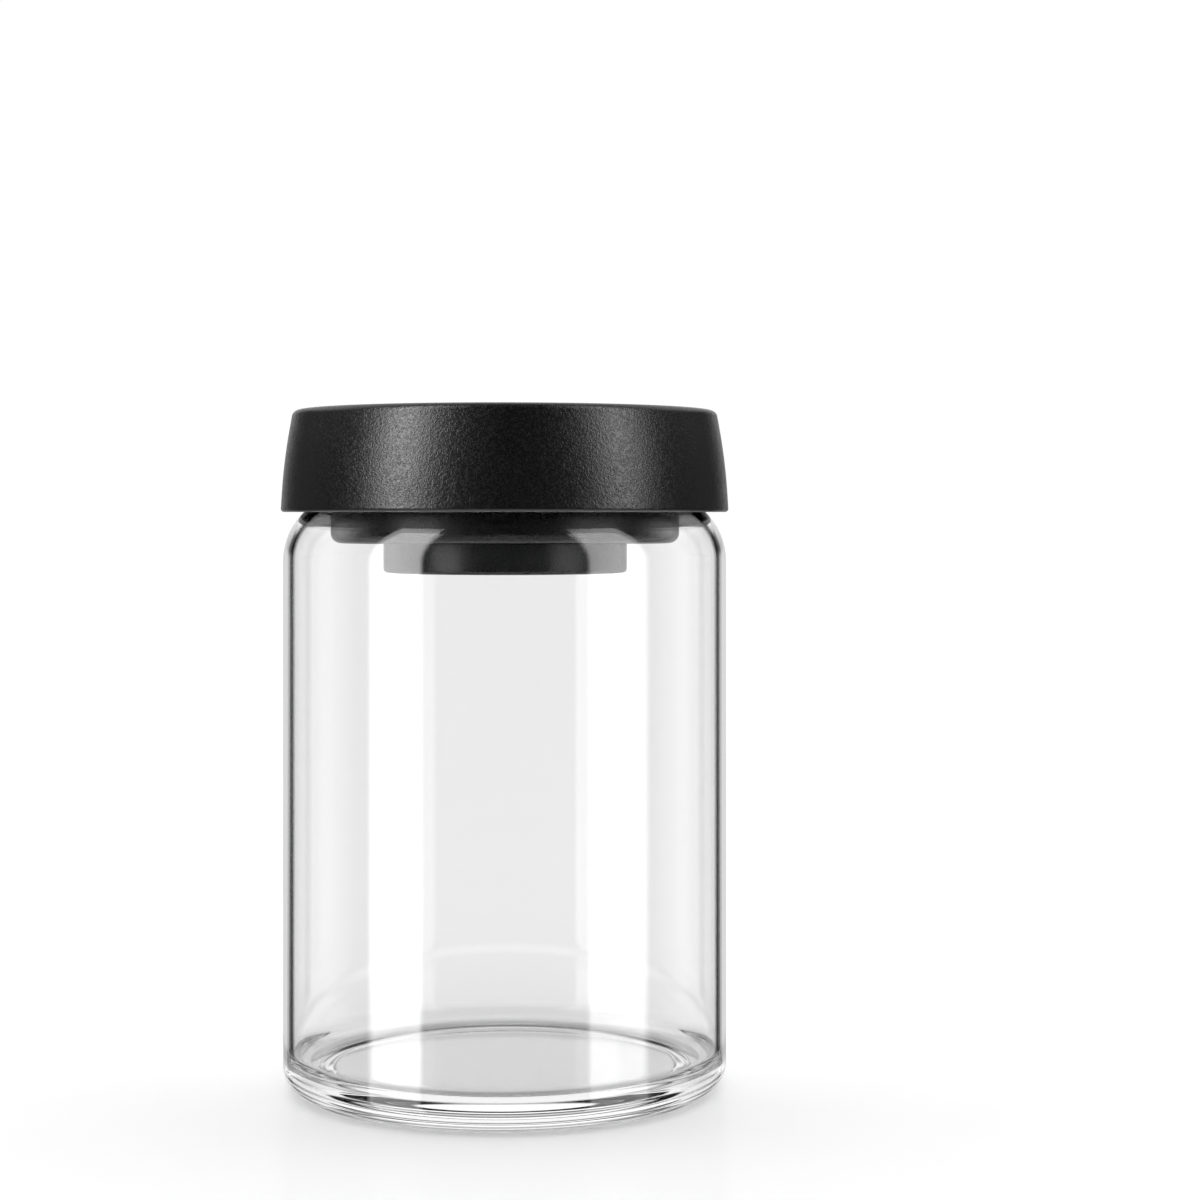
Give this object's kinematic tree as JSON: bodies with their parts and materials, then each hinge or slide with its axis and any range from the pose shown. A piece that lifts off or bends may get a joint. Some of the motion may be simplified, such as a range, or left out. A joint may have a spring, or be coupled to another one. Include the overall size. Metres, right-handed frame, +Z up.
{
  "type": "vacuum seal canister",
  "caption": "Cylindrical clear glass storage jar with a black grained lid whose recessed gold button pumps the air out and whose small gold button lets it back in.",
  "frame": {"origin": "centre of the jar's foot, on the surface that it stands on", "axes": "+Z up along the jar's axis, -Y towards the viewer of the picture, -X towards the release button"},
  "size_m": [0.106, 0.106, 0.16],
  "materials": {
    "clear_glass": "clear polished borosilicate",
    "grained_black": "satin with a fine leather grain",
    "deck_black": "satin with a fine grain",
    "plug_black": "semi-gloss",
    "smoked_plastic": "smoked, semi-gloss",
    "satin_gold": "satin gold anodised",
    "black_silicone": "matte",
    "clear_silicone": "translucent matte",
    "natural_plastic": "natural white",
    "steel": "stainless"
  },
  "bodies": {
    "jar": {"glass_jar": "clear_glass"},
    "lid": {"lid_shell": "grained_black", "deck_plate": "deck_black", "plug_screws": "steel", "lid_plug": "plug_black", "sealing_ring": "black_silicone", "pump_cylinder": "smoked_plastic", "cylinder_gasket": "black_silicone", "cylinder_lock_nut": "natural_plastic", "inlet_valve": "clear_silicone", "release_guide": "natural_plastic", "pump_spring": "steel", "release_spring": "steel"},
    "pump": {"pump_button": "satin_gold", "piston": "natural_plastic", "piston_seal": "black_silicone", "button_screw": "steel", "button_washer": "steel"},
    "release": {"release_button": "satin_gold", "release_stem": "steel", "release_valve_seal": "clear_silicone", "release_clip": "steel"}
  },
  "joints": [
    {"name": "lid_lift", "type": "slide", "parent": "jar", "child": "lid", "axis": [0, 0, 1], "range_m": [0, 0.045]},
    {"name": "pump_press", "type": "slide", "parent": "lid", "child": "pump", "axis": [0, 0, -1], "range_m": [0, 0.009], "stiffness_N_per_m": 900, "springref_m": -0.006, "deforming": ["pump_spring"]},
    {"name": "release_press", "type": "slide", "parent": "lid", "child": "release", "axis": [0, 0, -1], "range_m": [0, 0.003], "stiffness_N_per_m": 500, "springref_m": -0.003, "deforming": ["release_spring"]}
  ]
}
